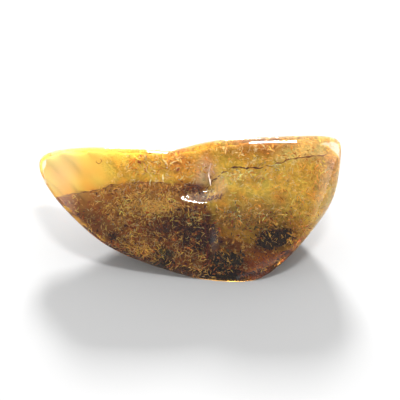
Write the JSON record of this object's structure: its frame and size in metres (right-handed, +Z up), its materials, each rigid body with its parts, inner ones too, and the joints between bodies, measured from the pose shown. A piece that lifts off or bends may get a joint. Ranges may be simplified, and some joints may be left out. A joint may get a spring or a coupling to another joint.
{
  "type": "amber stone",
  "caption": "Polished free-form amber stone with dark plant crumbs sealed inside, lying on its broad, nearly flat underside.",
  "frame": {"origin": "under the middle of the stone's box, on the surface that it rests on", "axes": "+X along the stone towards its blunt end, +Y to its back, +Z up"},
  "size_m": [0.0446, 0.0162, 0.0143],
  "materials": {
    "amber": "polished honey-coloured fossil resin, see-through, with dust, flakes and bubbles inside",
    "plant_crumbs": "dark, rough bark and plant crumbs sealed in the resin"
  },
  "bodies": {
    "root": {"amber_front_half": "amber", "amber_back_half": "amber", "crumbs_centre": "plant_crumbs", "crumbs_low": "plant_crumbs", "crumbs_right": "plant_crumbs"}
  },
  "joints": []
}
